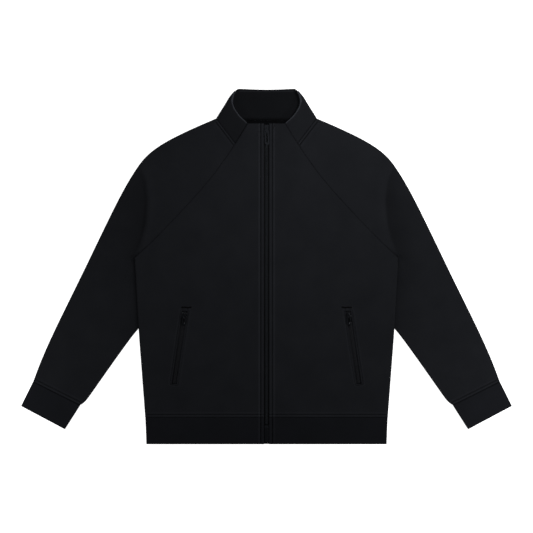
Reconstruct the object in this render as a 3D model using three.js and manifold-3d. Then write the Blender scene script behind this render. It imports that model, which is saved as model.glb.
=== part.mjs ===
// Raglan track jacket, zipped up to its stand collar and laid flat on a surface, front up.
// Millimetres. +Y points to the collar, +Z up off the surface, +X to the wearer's left side.
// The origin lies under the middle of the outline, on the surface the jacket rests on.
import * as THREE from "three";
import { mergeVertices } from "three/addons/utils/BufferGeometryUtils.js";
import Module from "manifold-3d";

const wasm = await Module();
wasm.setup();

const { lerp, smoothstep, degToRad } = THREE.MathUtils;
const at2 = (x, y) => new THREE.Vector2(x, y);

// ---------------------------------------------------------------- driving dimensions

const CLOTH = 2.0; // body and sleeve knit
const COLLAR_CLOTH = 3.0; // collar, two layers turned over at the rim
const BAND_CLOTH = 2.6; // hem band and cuffs, folded double
const TAPE = 0.8; // zip tape
const SEAM = 0.3; // gap between pieces that touch on the real jacket
const HALF_SEAM = 0.2; // how far a slanted seam's edge stands back from the seam line, along X
const AIR = 3.0; // air between the front and the back as they lie

const BODY_TOP = 2 * CLOTH + AIR; // upper surface of the laid body and sleeves
const BAND_TOP = 7.6; // upper surface of the hem band and cuffs
const NECK_RISE = 4.5; // how far the front stands higher round the neck
const TUCKED = 4.5; // folded height of the sleeve where it lies under the body's side
const BODY_LIFT = TUCKED + SEAM; // how far the tucked sleeve lifts the back
const FRONT_LIFT = 2.4; // and the front above it
const SIDE_ROLL = 5.0; // width of the rounded edge at the body's side

const HEM_SEAM_Y = -330.9;
const HEM_EDGE_Y = -390;
const FRONT_TOP_Y = 313.9; // top edge of the front's collar stand
const BACK_NECK_Y = 321; // level with the shoulder fold's lower end
const BACK_COLLAR_TOP_Y = 387.8;
const RAGLAN_NECK_Y = 269.7; // where the front raglan seam meets the neck seam
const ARMPIT = at2(289.6, 18.7);
const SHOULDER_POINT = at2(111, 325.5); // top of the shoulder fold, at the neck seam
const SLEEVE_OUT = at2(281, -137); // where the sleeve comes out from under the body's side

const FLY = 5.3; // half the channel between the two front edges
const PLACKET_STITCH = 13;
const PLACKET_WIDTH = 17;

const POCKET_TOP = at2(179.3, -97.9);
const POCKET_BOTTOM = at2(202.8, -257);
const POCKET_HALF = 5.85; // half the width of the zip's window in the front
const POCKET_SLANT = Math.atan2(POCKET_BOTTOM.x - POCKET_TOP.x, POCKET_TOP.y - POCKET_BOTTOM.y);

// ---------------------------------------------------------------- colours

const knit = { color: 0x17181a, roughness: 0.85, metalness: 0 };
const rib = { color: 0x131416, roughness: 0.88, metalness: 0 };
const tape = { color: 0x0d0d0f, roughness: 0.8, metalness: 0 };
const teeth = { color: 0x101113, roughness: 0.45, metalness: 0 };
const metal = { color: 0x1c1d20, roughness: 0.35, metalness: 0.6 };

// ---------------------------------------------------------------- outlines of one half

// Each table runs from the collar downwards; rows are points of the outline.
const outline = (rows) => new THREE.SplineCurve(rows.map((row) => at2(row.x, row.y)));

const frontRaglan = outline([
  { x: 40.9, y: 313.9 },
  { x: 68.2, y: 269.7 },
  { x: 117.3, y: 200.2 },
  { x: 172, y: 137.7 },
  { x: 242.2, y: 63.4 },
  { x: ARMPIT.x, y: ARMPIT.y },
]);

const backRaglan = outline([
  { x: 62, y: 322 },
  { x: 92, y: 270 },
  { x: 150, y: 188 },
  { x: 214, y: 96 },
  { x: 256, y: 46 },
  { x: ARMPIT.x, y: ARMPIT.y },
]);

const bodySide = outline([
  { x: ARMPIT.x, y: ARMPIT.y },
  { x: 286, y: -45 },
  { x: 280.5, y: -139.7 },
  { x: 273.9, y: -237 },
  { x: 266.8, y: -330.9 },
  { x: 264.4, y: -390 },
]);

const overarm = outline([
  { x: SHOULDER_POINT.x, y: SHOULDER_POINT.y },
  { x: 161.7, y: 303.6 },
  { x: 216.7, y: 277.2 },
  { x: 258.5, y: 250.8 },
  { x: 289.3, y: 211.2 },
  { x: 326.7, y: 145.2 },
  { x: 403.7, y: -13.2 },
  { x: 480.7, y: -171.6 },
  { x: 512.8, y: -252.2 },
]);

const underarm = outline([
  { x: ARMPIT.x, y: ARMPIT.y },
  { x: 268, y: -8 },
  { x: 251, y: -38 },
  { x: 245, y: -68 },
  { x: 254, y: -100 },
  { x: 270, y: -124 },
  { x: 289.3, y: -145.2 },
  { x: 346.5, y: -224.4 },
  { x: 392.7, y: -290.4 },
  { x: 401, y: -299.6 },
  { x: 408.7, y: -304.2 },
]);

const cuffSeam = { outer: at2(513, -252.6), inner: at2(408.6, -304.8) };
const cuffEdge = { outer: at2(539.4, -305.8), inner: at2(442.2, -357.5) };

/** Place on a curve whose y only falls along it, at the height y. */
function placeAt(curve, y) {
  let low = 0;
  let high = 1;
  for (let halving = 0; halving < 40; halving += 1) {
    const middle = (low + high) / 2;
    if (curve.getPoint(middle).y > y) {
      low = middle;
    } else {
      high = middle;
    }
  }
  return (low + high) / 2;
}

const xAt = (curve, y) => curve.getPoint(placeAt(curve, y)).x;

// ---------------------------------------------------------------- heights of the laid cloth

/** Distance from a place to the line between two points, with heights above it stretched. */
function distanceToLine(x, y, top, bottom, stretchAbove) {
  if (y > top.y) {
    return Math.hypot(x - top.x, (y - top.y) * stretchAbove);
  }
  if (y < bottom.y) {
    return Math.hypot(x - bottom.x, y - bottom.y);
  }
  return Math.abs(x - lerp(bottom.x, top.x, (y - bottom.y) / (top.y - bottom.y)));
}

// Where the heights change: all of it within "full" of the line or point, none beyond "none".
const LIFT = { top: at2(275, 5), bottom: at2(275, -130), stretchAbove: 2.4, full: 38, none: 85 };
const PRESS = { stretchAbove: 3, full: 14, none: 42 };
const NECK = { middle: at2(0, 345), full: 113, none: 190 };
const STAND_THICKENS = { from: 262, to: 285 }; // along Y

/** 1 over the sleeve tucked under the body's side, falling to 0 around it. */
function liftShare(x, y) {
  const distance = distanceToLine(Math.abs(x), y, LIFT.top, LIFT.bottom, LIFT.stretchAbove);
  return 1 - smoothstep(distance, LIFT.full, LIFT.none);
}

/** 1 where the sleeve is pressed flat by the body's side, falling to 0 beside it. */
function pressShare(x, y) {
  if (y <= ARMPIT.y && y >= SLEEVE_OUT.y && x < xAt(bodySide, y)) {
    return 1;
  }
  const distance = distanceToLine(x, y, ARMPIT, SLEEVE_OUT, PRESS.stretchAbove);
  return 1 - smoothstep(distance, PRESS.full, PRESS.none);
}

/** 1 round the neck, where the collar's four layers hold the front up, falling to 0 below it. */
function neckShare(x, y) {
  return 1 - smoothstep(Math.hypot(x - NECK.middle.x, y - NECK.middle.y), NECK.full, NECK.none);
}

const frontTop = (x, y) => BODY_TOP + NECK_RISE * neckShare(x, y) + FRONT_LIFT * liftShare(x, y);
const frontWall = (y) =>
  lerp(CLOTH, COLLAR_CLOTH, smoothstep(y, STAND_THICKENS.from, STAND_THICKENS.to));
const sleeveTop = (x, y) =>
  BODY_TOP + NECK_RISE * neckShare(x, y) - (BODY_TOP - TUCKED) * pressShare(x, y);

// ---------------------------------------------------------------- scene and solids

const jacket = new THREE.Group();

function addPiece(name, geometry, look) {
  geometry.computeVertexNormals();
  const mesh = new THREE.Mesh(geometry, new THREE.MeshStandardMaterial(look));
  mesh.name = name;
  jacket.add(mesh);
  return mesh;
}

/** Six times the signed volume of an indexed mesh, positive when its faces point out. */
function signedVolume(points, faces) {
  let sum = 0;
  for (let corner = 0; corner < faces.length; corner += 3) {
    const [a, b, c] = [points[faces[corner]], points[faces[corner + 1]], points[faces[corner + 2]]];
    sum += a.dot(new THREE.Vector3().crossVectors(b, c));
  }
  return sum;
}

/**
 * Closed wall between two grids of points, the cloth's outer and inner face. A ring joins its
 * last column to its first; the cells that isOpen names are left out, and every free edge gets
 * a rim.
 */
function clothWall(outer, inner, { ring = false, isOpen = () => false } = {}) {
  const rows = outer.length;
  const columns = outer[0].length;
  const points = [...outer.flat(), ...inner.flat()];
  const index = (row, column, face) => (face * rows + row) * columns + (column % columns);
  const cellColumns = ring ? columns : columns - 1;
  const isFilled = (row, column) => {
    const wrapped = ring ? (column + columns) % columns : column;
    return row >= 0 && row < rows - 1 && wrapped >= 0 && wrapped < cellColumns && !isOpen(row, wrapped);
  };
  const faces = [];
  const quad = (a, b, c, d) => faces.push(a, b, c, a, c, d);
  for (let row = 0; row < rows - 1; row += 1) {
    for (let column = 0; column < cellColumns; column += 1) {
      if (!isFilled(row, column)) {
        continue;
      }
      const corners = [
        [row, column],
        [row, column + 1],
        [row + 1, column + 1],
        [row + 1, column],
      ];
      const beyond = [
        [row - 1, column],
        [row, column + 1],
        [row + 1, column],
        [row, column - 1],
      ];
      quad(...corners.map((corner) => index(...corner, 0)));
      quad(...corners.map((corner) => index(...corner, 1)).reverse());
      corners.forEach((from, side) => {
        const to = corners[(side + 1) % 4];
        if (!isFilled(...beyond[side])) {
          quad(index(...to, 0), index(...from, 0), index(...from, 1), index(...to, 1));
        }
      });
    }
  }
  if (signedVolume(points, faces) < 0) {
    faces.reverse();
  }
  const geometry = new THREE.BufferGeometry().setFromPoints(points);
  geometry.setIndex(faces);
  return geometry;
}

/** A point of one half of the jacket, on the side +1 (left) or -1 (right). */
const onSide = (side) => (x, y, z) => new THREE.Vector3(side * x, y, z);

/** Steps of the half circle over a folded edge, from the upper layer to the lower one. */
const FOLD_STEPS = [45, 0, -45].map(degToRad);
const THIRDS = [0, 0.33, 0.67, 1];

/**
 * Points round a folded edge, between the upper and lower layer: the cloth's face lies the
 * given wall inside its outer half circle.
 */
function foldPoints(upper, lower, normal, height, wall, place) {
  const radius = height / 2;
  const middle = upper.clone().lerp(lower, 0.5);
  const ringOf = (size) =>
    FOLD_STEPS.map((angle) => {
      const flat = upper.clone().lerp(lower, (1 - Math.sin(angle)) / 2);
      const out = flat.lerp(middle, Math.cos(angle)).addScaledVector(normal, size * Math.cos(angle));
      return place(out.x, out.y, radius + size * Math.sin(angle));
    });
  return { outer: ringOf(radius), inner: ringOf(radius - wall) };
}

// ---------------------------------------------------------------- body

const HEM_STITCH_Y = -325.2; // row of stitches above the hem seam
const BODY_ROWS = [
  HEM_SEAM_Y + SEAM / 2, HEM_STITCH_Y, -312, -285, POCKET_BOTTOM.y, -210, -185, -160, SLEEVE_OUT.y,
  -115, POCKET_TOP.y, -60, -20, 5, ARMPIT.y,
];
const SLEEVE_ROWS = [
  { front: RAGLAN_NECK_Y, fold: SHOULDER_POINT.y, back: BACK_NECK_Y },
  { front: 235, fold: 309, back: 290 },
  { front: 200, fold: 292, back: 255 },
  { front: 165, fold: 270, back: 215 },
  { front: 137.7, fold: 243, back: 180 },
  { front: 105, fold: 211, back: 140 },
  { front: 75, fold: 172, back: 100 },
  { front: 48, fold: 130, back: 62 },
  { front: 30, fold: 92, back: 35 },
  { front: ARMPIT.y, fold: 59, back: ARMPIT.y },
  { front: -8, fold: 38, back: -8 },
  { front: -38, fold: 14, back: -38 },
  { front: -68, fold: -9, back: -68 },
  { front: -100, fold: -33, back: -100 },
  { front: -124, fold: -58, back: -124 },
  { front: -145.2, fold: -83, back: -145.2 },
  { front: -180, fold: -118, back: -180 },
  { front: -224.4, fold: -160, back: -224.4 },
  { front: -262, fold: -205, back: -262 },
  { front: -290.4, fold: -232, back: -290.4 },
  { front: -299.6, fold: -244, back: -299.6 },
  { front: -304.2, fold: -252.2, back: -304.2 },
];
const ARMPIT_ROW = 9;

const STAND_ROWS = [285, 300, FRONT_TOP_Y];
const frontRaglanRows = SLEEVE_ROWS.slice(0, ARMPIT_ROW).map((row) => row.front).reverse();
const FRONT_ROWS = [...BODY_ROWS, ...frontRaglanRows, ...STAND_ROWS];
const backRaglanRows = SLEEVE_ROWS.slice(1, ARMPIT_ROW).map((row) => row.back).reverse();
const BACK_ROWS = [...BODY_ROWS, ...backRaglanRows, BACK_NECK_Y - HALF_SEAM];

/** Half the body's width at the height y; above the armpit it ends at the raglan seam. */
function bodyHalf(y, raglan) {
  return y <= ARMPIT.y ? xAt(bodySide, y) : xAt(raglan, y) - HALF_SEAM;
}

const SLANT_ENDS_Y = -60; // above this the pocket's column of points spreads with the body

/** The middle of the pocket's column of points: on the zip's line, then a share of the width. */
function pocketMiddle(y, half) {
  const slanted = (height) => POCKET_TOP.x + (POCKET_TOP.y - height) * Math.tan(POCKET_SLANT);
  if (y > SLANT_ENDS_Y) {
    return (slanted(SLANT_ENDS_Y) / xAt(bodySide, SLANT_ENDS_Y)) * half;
  }
  return slanted(Math.max(y, POCKET_BOTTOM.y));
}

const ROLL_ANGLES = [0, 30, 60, 90].map(degToRad);
const POCKET_COLUMN = 7; // the cell between the zip window's two edges
const POCKET_BORDER = 12; // stitched border, out from the middle of the slit
const PLACKET_SWELL = 8.5; // top of the rolled edge beside the zip
const SIDE_INSETS = [80, 46, 20]; // columns of points along the body's side

function frontRow(y, place) {
  const half = bodyHalf(y, frontRaglan);
  const narrow = Math.min(1, half / ARMPIT.x);
  const pocket = pocketMiddle(y, half);
  const pocketBorder = POCKET_BORDER * narrow;
  const flatX = [
    FLY,
    PLACKET_SWELL,
    PLACKET_STITCH,
    PLACKET_WIDTH,
    lerp(PLACKET_WIDTH, pocket - pocketBorder, 0.35),
    lerp(PLACKET_WIDTH, pocket - pocketBorder, 0.7),
    pocket - pocketBorder,
    pocket - POCKET_HALF * narrow,
    pocket + POCKET_HALF * narrow,
    pocket + pocketBorder,
    ...SIDE_INSETS.slice(1).map((inset) => half - inset * narrow),
  ];
  const wall = frontWall(y);
  const outer = flatX.map((x) => place(x, y, frontTop(x, y)));
  const inner = flatX.map((x) => place(x, y, frontTop(x, y) - wall));
  const roll = SIDE_ROLL * narrow;
  const isSide = y < ARMPIT.y;
  for (const angle of ROLL_ANGLES) {
    const x = half - roll * (1 - Math.sin(angle));
    const top = frontTop(x, y);
    if (isSide) {
      const low = CLOTH + BODY_LIFT * liftShare(half, y) + SEAM;
      const drop = top - low;
      outer.push(place(x, y, low + drop * Math.cos(angle)));
      const innerX = half - roll + (roll - wall) * Math.sin(angle);
      inner.push(place(innerX, y, low + (drop - wall) * Math.cos(angle)));
    } else {
      outer.push(place(x, y, top));
      inner.push(place(x, y, top - wall));
    }
  }
  return { outer, inner };
}

function buildFront(name, side) {
  const rows = FRONT_ROWS.map((y) => frontRow(y, onSide(side)));
  const windowFrom = FRONT_ROWS.indexOf(POCKET_BOTTOM.y);
  const windowTo = FRONT_ROWS.indexOf(POCKET_TOP.y);
  const isOpen = (row, column) => column === POCKET_COLUMN && row >= windowFrom && row < windowTo;
  const outer = rows.map((row) => row.outer);
  const inner = rows.map((row) => row.inner);
  addPiece(name, clothWall(outer, inner, { isOpen }), knit);
}

const BACK_SHARES = [0.2, 0.45]; // columns of points in the middle of the back

function buildBack() {
  const rows = BACK_ROWS.map((y) => {
    const half = bodyHalf(y, backRaglan);
    const narrow = Math.min(1, half / ARMPIT.x);
    const insets = SIDE_INSETS.map((inset) => half - inset * narrow);
    const left = [...BACK_SHARES.map((share) => half * share), ...insets, half];
    const xs = [...[...left].reverse(), 0, ...left.map((x) => -x)];
    const under = (x) => BODY_LIFT * liftShare(x, y);
    return {
      outer: xs.map((x) => new THREE.Vector3(x, y, under(x))),
      inner: xs.map((x) => new THREE.Vector3(x, y, under(x) + CLOTH)),
    };
  });
  addPiece("back_panel", clothWall(rows.map((row) => row.outer), rows.map((row) => row.inner)), knit);
}

// ---------------------------------------------------------------- sleeves

const UNDERARM_STEPS = [0, 45].map(degToRad);
const PRESS_STEPS = [4, 16, 30]; // columns beside the body's side edge
const SLEEVE_PUFF = 0.8; // how far the middle of the sleeve stands above its edges
const NECK_SEAM_GAP = at2(0.12, -0.2); // how far each side stands back from the neck seam

/** Direction that both the sleeve's and the collar's fold bulge to where they meet. */
const shoulderNormal = at2(0.62, 0.785);

function outwardNormal(curve, y) {
  const along = curve.getTangent(placeAt(curve, y));
  return at2(-along.y, along.x);
}

/** How far along a section, from its inner end, the body's side covers the sleeve. */
function coveredLength(start, direction) {
  const stride = 0.5;
  let length = 0;
  const isCovered = (step) => {
    const place = start.clone().addScaledVector(direction, step);
    return place.y <= ARMPIT.y && place.y >= SLEEVE_OUT.y && place.x < xAt(bodySide, place.y);
  };
  while (isCovered(length)) {
    length += stride;
  }
  return length;
}

/**
 * One section of the sleeve, from the front seam over the overarm fold to the back seam.
 * Below the armpit both ends curl in to the underarm seam.
 */
function sleeveRow(row, rowNumber, place) {
  const isTube = rowNumber >= ARMPIT_ROW;
  const neckShift = rowNumber === 0 ? NECK_SEAM_GAP : at2(0, 0);
  const seamShift = rowNumber <= ARMPIT_ROW ? HALF_SEAM : 0;
  const frontSeam = isTube ? underarm : frontRaglan;
  const backSeam = isTube ? underarm : backRaglan;
  const front = at2(xAt(frontSeam, row.front) + seamShift, row.front).add(neckShift);
  const back = at2(xAt(backSeam, row.back) + seamShift, row.back).add(neckShift);
  const fold = at2(xAt(overarm, row.fold), row.fold).add(neckShift);
  const normal = rowNumber === 0 ? shoulderNormal : outwardNormal(overarm, row.fold);

  const foldHeight = sleeveTop(fold.x, fold.y);
  const foldEnd = fold.clone().addScaledVector(normal, -foldHeight / 2);
  const frontWay = foldEnd.clone().sub(front).normalize();
  const backWay = foldEnd.clone().sub(back).normalize();
  const curl = sleeveTop(front.x, front.y) / 2;
  const outer = [];
  const inner = [];

  const addEdge = (start, way, angle, isUpper) => {
    const sign = isUpper ? 1 : -1;
    const flatZ = isUpper ? sleeveTop(start.x, start.y) : 0;
    const faceOut = start.clone().addScaledVector(way, curl * (1 - Math.cos(angle)));
    if (!isTube) {
      outer.push(place(faceOut.x, faceOut.y, flatZ));
      inner.push(place(faceOut.x, faceOut.y, flatZ - sign * CLOTH));
      return;
    }
    const slit = angle === 0 ? SEAM / 2 : 0;
    const faceIn = start.clone().addScaledVector(way, curl - (curl - CLOTH) * Math.cos(angle));
    outer.push(place(faceOut.x, faceOut.y, curl + sign * (slit + curl * Math.sin(angle))));
    inner.push(place(faceIn.x, faceIn.y, curl + sign * (slit + (curl - CLOTH) * Math.sin(angle))));
  };

  UNDERARM_STEPS.forEach((angle) => addEdge(front, frontWay, angle, true));
  const upperStart = front.clone().addScaledVector(frontWay, curl);
  const reach = upperStart.distanceTo(foldEnd);
  const covered = coveredLength(upperStart, frontWay);
  const beside = PRESS_STEPS.map((step) => covered + step);
  const last = beside[beside.length - 1];
  const lengths = [0, ...beside, lerp(last, reach, 0.35), lerp(last, reach, 0.7), reach];
  for (const length of lengths) {
    const spot = upperStart.clone().addScaledVector(frontWay, length);
    const puff = isTube ? Math.sin((Math.PI * length) / reach) * SLEEVE_PUFF : 0;
    const z = length === reach ? foldHeight : sleeveTop(spot.x, spot.y) + puff * (1 - pressShare(spot.x, spot.y));
    outer.push(place(spot.x, spot.y, z));
    inner.push(place(spot.x, spot.y, z - CLOTH));
  }
  const turned = foldPoints(foldEnd, foldEnd, normal, foldHeight, CLOTH, place);
  outer.push(...turned.outer);
  inner.push(...turned.inner);
  const lowerEnd = back.clone().addScaledVector(backWay, curl);
  for (const share of THIRDS) {
    const spot = foldEnd.clone().lerp(lowerEnd, share);
    outer.push(place(spot.x, spot.y, 0));
    inner.push(place(spot.x, spot.y, CLOTH));
  }
  [...UNDERARM_STEPS].reverse().forEach((angle) => addEdge(back, backWay, angle, false));
  return { outer, inner };
}

function buildSleeve(name, side) {
  const rows = SLEEVE_ROWS.map((row, number) => sleeveRow(row, number, onSide(side)));
  addPiece(name, clothWall(rows.map((row) => row.outer), rows.map((row) => row.inner)), knit);
}

// ---------------------------------------------------------------- bands

const CUFF_SHARES = [0.25, 0.6, 0.9, 1]; // rows of points from the seam to the edge
const HEM_ROWS = [HEM_SEAM_Y - SEAM / 2, -342, -362, -384, HEM_EDGE_Y];
const HEM_SHARES = { front: [0.35, 0.7, 1], back: [1, 0.6, 0.25] }; // of the way out to the side

/** Section of a flattened double band, a ring from its inner to its outer end and back. */
function cuffRow(inner, outer, place) {
  const way = outer.clone().sub(inner).normalize();
  const radius = BAND_TOP / 2;
  const innerEnd = inner.clone().addScaledVector(way, radius);
  const outerEnd = outer.clone().addScaledVector(way, -radius);
  const upper = THIRDS.map((share) => innerEnd.clone().lerp(outerEnd, share));
  const lower = [...upper].reverse();
  const outerFold = foldPoints(outerEnd, outerEnd, way, BAND_TOP, BAND_CLOTH, place);
  const innerFold = foldPoints(innerEnd, innerEnd, way.clone().negate(), BAND_TOP, BAND_CLOTH, place);
  const level = (spots, z) => spots.map((spot) => place(spot.x, spot.y, z));
  return {
    outer: [...level(upper, BAND_TOP), ...outerFold.outer, ...level(lower, 0), ...innerFold.outer.reverse()],
    inner: [
      ...level(upper, BAND_TOP - BAND_CLOTH),
      ...outerFold.inner,
      ...level(lower, BAND_CLOTH),
      ...innerFold.inner.reverse(),
    ],
  };
}

function buildCuff(name, side) {
  const seamGap = SEAM / cuffSeam.outer.distanceTo(cuffEdge.outer);
  const rows = [seamGap, ...CUFF_SHARES].map((share) => {
    const inner = cuffSeam.inner.clone().lerp(cuffEdge.inner, share);
    const outer = cuffSeam.outer.clone().lerp(cuffEdge.outer, share);
    return cuffRow(inner, outer, onSide(side));
  });
  const outer = rows.map((row) => row.outer);
  const inner = rows.map((row) => row.inner);
  addPiece(name, clothWall(outer, inner, { ring: true }), rib);
}

/** Half a section of the hem band, from the zip round the side to the middle of the back. */
function hemHalf(y, place) {
  const side = xAt(bodySide, y) - BAND_TOP / 2;
  const upper = [FLY, PLACKET_STITCH, PLACKET_WIDTH, ...HEM_SHARES.front.map((share) => side * share)];
  const lower = HEM_SHARES.back.map((share) => side * share);
  const end = at2(side, y);
  const fold = foldPoints(end, end, at2(1, 0), BAND_TOP, BAND_CLOTH, place);
  const level = (xs, z) => xs.map((x) => place(x, y, z));
  return {
    outer: [...level(upper, BAND_TOP), ...fold.outer, ...level(lower, 0)],
    inner: [...level(upper, BAND_TOP - BAND_CLOTH), ...fold.inner, ...level(lower, BAND_CLOTH)],
  };
}

function buildHemBand() {
  const whole = HEM_ROWS.map((y) => {
    const left = hemHalf(y, onSide(1));
    const right = hemHalf(y, onSide(-1));
    return {
      outer: [...left.outer, new THREE.Vector3(0, y, 0), ...right.outer.reverse()],
      inner: [...left.inner, new THREE.Vector3(0, y, BAND_CLOTH), ...right.inner.reverse()],
    };
  });
  addPiece("hem_band", clothWall(whole.map((row) => row.outer), whole.map((row) => row.inner)), rib);
}

// ---------------------------------------------------------------- collar

const COLLAR_TOP = BODY_TOP + NECK_RISE;
const RIM_LIFT = 0.5; // the rim stands a little above the neck seam
// Columns of the collar's front half, from the raglan seam to the side fold.
const COLLAR_COLUMNS = [
  { seamShare: 0.36, rimX: 58.1, rimY: 329.1 },
  { seamShare: 0.65, rimX: 70.4, rimY: 346.7 },
  { seamShare: 0.85, rimX: 75.5, rimY: 362 },
  { seamShare: 1, rimX: 66.8, rimY: 384.2 },
];
const neckSeamStart = at2(xAt(frontRaglan, RAGLAN_NECK_Y), RAGLAN_NECK_Y);
const neckSeamEnd = SHOULDER_POINT.clone().addScaledVector(shoulderNormal, -COLLAR_TOP / 2);
const COLLAR_SHARES = [0, 0.35, 0.68, 0.93, 1]; // rows of points from the neck seam to the rim
const backCorner = at2(64.5, 388.6); // lower layer's end at the top of the side fold
const rimNormal = at2(0.98, 0.1); // direction the side fold bulges to at its top

function collarHalf(share, place) {
  const shift = NECK_SEAM_GAP.clone().multiplyScalar(share - 1);
  const raglanY = lerp(RAGLAN_NECK_Y + HALF_SEAM, FRONT_TOP_Y + HALF_SEAM, share);
  const raglan = at2(xAt(frontRaglan, raglanY) + HALF_SEAM, raglanY);
  const front = COLLAR_COLUMNS.map((column) => {
    const seamPoint = neckSeamStart.clone().lerp(neckSeamEnd, column.seamShare);
    return seamPoint.lerp(at2(column.rimX, column.rimY), share).add(shift);
  });
  const foldEnd = front[front.length - 1];
  const backEnd = neckSeamEnd.clone().lerp(backCorner, share).add(shift);
  const normal = shoulderNormal.clone().lerp(rimNormal, share).normalize();
  const topZ = COLLAR_TOP + RIM_LIFT * share;
  const upper = [raglan, ...front];
  const middleY = lerp(BACK_NECK_Y + HALF_SEAM, BACK_COLLAR_TOP_Y, share);
  const lower = THIRDS.slice(0, -1).map((part) => backEnd.clone().lerp(at2(0, middleY), part));
  const fold = foldPoints(foldEnd, backEnd, normal, topZ, COLLAR_CLOTH, place);
  const level = (spots, z) => spots.map((spot) => place(spot.x, spot.y, z));
  return {
    outer: [...level(upper, topZ), ...fold.outer, ...level(lower, 0)],
    inner: [...level(upper, topZ - COLLAR_CLOTH), ...fold.inner, ...level(lower, COLLAR_CLOTH)],
    middleY,
  };
}

function buildCollar() {
  const rows = COLLAR_SHARES.map((share) => {
    const left = collarHalf(share, onSide(1));
    const right = collarHalf(share, onSide(-1));
    const middle = (z) => new THREE.Vector3(0, left.middleY, z);
    return {
      outer: [...left.outer, middle(0), ...right.outer.reverse()],
      inner: [...left.inner, middle(COLLAR_CLOTH), ...right.inner.reverse()],
    };
  });
  addPiece("collar", clothWall(rows.map((row) => row.outer), rows.map((row) => row.inner)), knit);
}

// ---------------------------------------------------------------- zips

const CHAIN_HALF = 3;
const CHAIN_HEIGHT = 1.6;
const CHAIN_ROUND = { width: 0.8, drop: 0.5 }; // the chain's edges lie lower than its middle
const TAPE_HALF = 15; // each tape's outer edge from the middle
const ZIP_TOP_Y = 311;
const CHAIN_TOP_Y = 307;
const ZIP_END_Y = -385;
const BOX = { topY: -349, half: 4.2, height: 2.2 };

/** Upper face of the zip tape, just under the front's wall. */
const tapeTop = (y) => frontTop(0, y) - frontWall(y) - SEAM;
const ZIP_ROWS = [ZIP_END_Y, -115, 105, 137.7, 165, 200, 235, RAGLAN_NECK_Y, ...STAND_ROWS.slice(0, 2), ZIP_TOP_Y];

function stripWall(rows, xs, topOf, bottomOf) {
  const level = (zOf) => rows.map((y) => xs.map((x) => new THREE.Vector3(x, y, zOf(x, y))));
  return clothWall(level(topOf), level(bottomOf));
}

function buildCentreZip() {
  for (const [name, side] of [["zip_tape_left", 1], ["zip_tape_right", -1]]) {
    const xs = [SEAM / 2, FLY, TAPE_HALF].map((x) => side * x);
    addPiece(name, stripWall(ZIP_ROWS, xs, (x, y) => tapeTop(y), (x, y) => tapeTop(y) - TAPE), tape);
  }
  const chainRows = [BOX.topY + SEAM, ...ZIP_ROWS.slice(1, -1), CHAIN_TOP_Y];
  const chainFlat = CHAIN_HALF - CHAIN_ROUND.width;
  const chainXs = [-CHAIN_HALF, -chainFlat, chainFlat, CHAIN_HALF];
  const drop = (x) => (Math.abs(x) === CHAIN_HALF ? CHAIN_ROUND.drop : 0);
  const rounded = (x, y) => tapeTop(y) + SEAM + CHAIN_HEIGHT - drop(x);
  addPiece("zip_chain", stripWall(chainRows, chainXs, rounded, (x, y) => tapeTop(y) + SEAM), teeth);

  const box = new THREE.BoxGeometry(2 * BOX.half, BOX.topY - ZIP_END_Y, BOX.height);
  const boxMesh = addPiece("zip_box", box, metal);
  boxMesh.position.set(0, (BOX.topY + ZIP_END_Y) / 2, tapeTop(BOX.topY) + SEAM + BOX.height / 2);
}

const POCKET_CHAIN = { half: 2.6, height: 1.4 };
const POCKET_TAPE_HALF = 10;

/** Tape and chain of a pocket zip as one strip behind the front's window. */
function buildPocketZip(name, side) {
  const top = BODY_TOP - CLOTH - SEAM;
  const section = new THREE.Shape([
    at2(-POCKET_TAPE_HALF, top - TAPE),
    at2(POCKET_TAPE_HALF, top - TAPE),
    at2(POCKET_TAPE_HALF, top),
    at2(POCKET_CHAIN.half, top),
    at2(POCKET_CHAIN.half, top + POCKET_CHAIN.height),
    at2(-POCKET_CHAIN.half, top + POCKET_CHAIN.height),
    at2(-POCKET_CHAIN.half, top),
    at2(-POCKET_TAPE_HALF, top),
  ]);
  const margin = 1.2; // the chain ends this far inside the window
  const start = at2(side * POCKET_TOP.x, POCKET_TOP.y);
  const length = POCKET_TOP.distanceTo(POCKET_BOTTOM) - 2 * margin;
  const strip = new THREE.ExtrudeGeometry(section, { depth: length, bevelEnabled: false });
  strip.translate(0, 0, margin);
  strip.rotateX(Math.PI / 2); // the section stands upright and the strip runs to -Y
  const mesh = addPiece(name, closedGeometry(strip), tape);
  mesh.position.set(start.x, start.y, 0);
  mesh.rotation.z = side * POCKET_SLANT;
}

// ---------------------------------------------------------------- sliders and pull tabs

const PLATE = 1.2; // slider plate's thickness
const SUNK = 0.4; // how far a slider's joined shapes run into one another
const SLIDER = { half: 4.6, taper: 0.9, corner: 1.6 };
const FLANGE = { middle: 3.9, thick: 0.7, shorter: 1.0, shift: 1.5 };
const BRIDGE = { half: 1.0, foot: 4.9, leg: 1.1, clear: 3.4, top: 4.4, round: 1.8, corner: 0.5 };
const PIVOT_HEIGHT = 1.7; // pull tab's pivot above the plate
const TAB = { half: 4.8, slotHalf: 2.1, bar: 1.2, thick: 1.5, corner: 0.9 };

const CENTRE_ZIP = {
  pivot: at2(0, 297.5),
  plateAbove: 13,
  plateBelow: 6.6,
  flange: 1.5,
  tabLength: 31.5,
  slotLength: 26,
  tabTurn: degToRad(3), // the tab hangs a little to the wearer's left
  tabTilt: degToRad(1.2), // its end comes down to the cloth
};
const POCKET_ZIP = {
  pivotBelow: 10.5, // pivot's distance along the zip from its upper end
  plateAbove: 6.6,
  plateBelow: 6.4,
  flange: 1.2,
  tabLength: 20.5,
  slotLength: 15.5,
  tabTilt: degToRad(3.8),
};

/** The same surface with its corners shared and nothing but positions. */
function closedGeometry(geometry) {
  const bare = geometry.clone();
  bare.deleteAttribute("normal");
  bare.deleteAttribute("uv");
  return mergeVertices(bare, 1e-4);
}

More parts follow.
